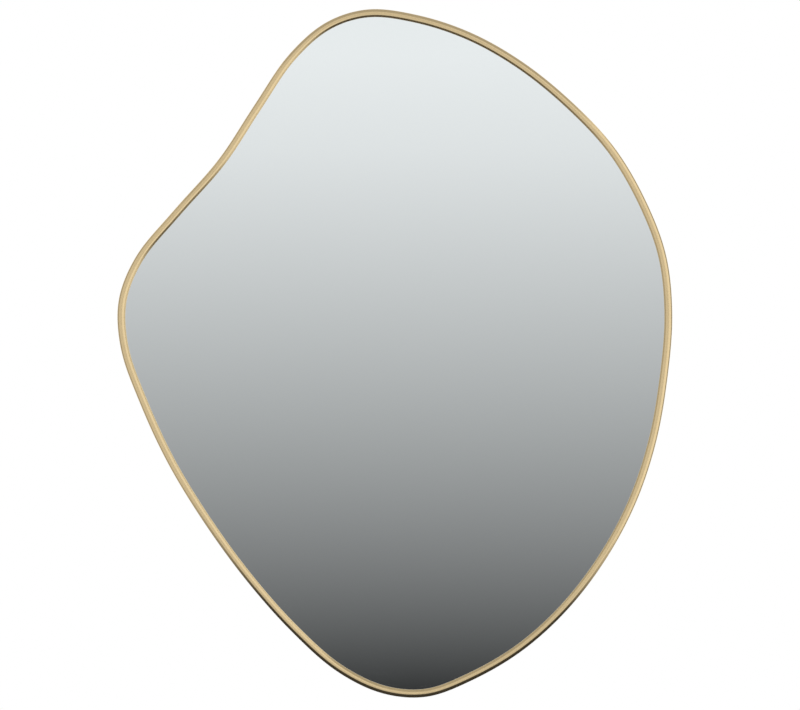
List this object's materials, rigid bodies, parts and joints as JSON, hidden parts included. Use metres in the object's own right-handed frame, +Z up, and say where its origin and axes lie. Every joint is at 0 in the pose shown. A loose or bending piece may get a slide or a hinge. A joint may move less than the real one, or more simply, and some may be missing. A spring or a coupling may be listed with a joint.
{
  "type": "irregular wall mirror",
  "caption": "Pebble-shaped wall mirror in a thin brass-coloured metal frame with a domed front, with D-ring hangers and rubber buffers on its fibreboard back.",
  "frame": {"origin": "on the rear face of the backboard, behind the middle of the mirror's overall width and height", "axes": "+X to the right as seen from the front, +Y out of the back towards the wall, +Z up"},
  "size_m": [0.806, 0.0292, 1],
  "materials": {
    "brass_finish": "brushed, brass-coloured",
    "silvered_glass": "polished",
    "clear_vinyl": "translucent, matte",
    "white_foam": "open-cell, matte",
    "fibreboard": "raw, sanded",
    "zinc_steel": "zinc plated",
    "black_rubber": "moulded, matte"
  },
  "bodies": {
    "mirror": {"mirror_frame": "brass_finish", "seat_gasket": "clear_vinyl", "mirror_glass": "silvered_glass", "foam_strip_1": "white_foam", "foam_strip_2": "white_foam", "foam_strip_3": "white_foam", "foam_strip_4": "white_foam", "foam_strip_5": "white_foam", "backboard": "fibreboard", "frame_bracket_1": "zinc_steel", "frame_bracket_2": "zinc_steel", "frame_bracket_3": "zinc_steel", "frame_bracket_4": "zinc_steel", "frame_bracket_5": "zinc_steel", "frame_bracket_6": "zinc_steel", "frame_bracket_7": "zinc_steel", "frame_bracket_8": "zinc_steel", "bracket_screw_1": "zinc_steel", "bracket_screw_2": "zinc_steel", "bracket_screw_3": "zinc_steel", "bracket_screw_4": "zinc_steel", "bracket_screw_5": "zinc_steel", "bracket_screw_6": "zinc_steel", "bracket_screw_7": "zinc_steel", "bracket_screw_8": "zinc_steel", "hanger_left_strap": "zinc_steel", "hanger_left_screw_1": "zinc_steel", "hanger_left_screw_2": "zinc_steel", "hanger_right_strap": "zinc_steel", "hanger_right_screw_1": "zinc_steel", "hanger_right_screw_2": "zinc_steel", "wall_buffer_1": "black_rubber", "wall_buffer_2": "black_rubber", "wall_buffer_3": "black_rubber", "wall_buffer_4": "black_rubber", "buffer_screw_1": "zinc_steel", "buffer_screw_2": "zinc_steel", "buffer_screw_3": "zinc_steel", "buffer_screw_4": "zinc_steel"},
    "left_ring": {"hanger_left_ring": "zinc_steel"},
    "right_ring": {"hanger_right_ring": "zinc_steel"}
  },
  "joints": [
    {"name": "left_ring_hinge", "type": "hinge", "parent": "mirror", "child": "left_ring", "pos_m": [-0.16135, 0.0028, 0.27], "axis": [-1, 0, 0], "range_deg": [0, 180]},
    {"name": "right_ring_hinge", "type": "hinge", "parent": "mirror", "child": "right_ring", "pos_m": [0.19865, 0.0028, 0.27], "axis": [-1, 0, 0], "range_deg": [0, 180]}
  ]
}
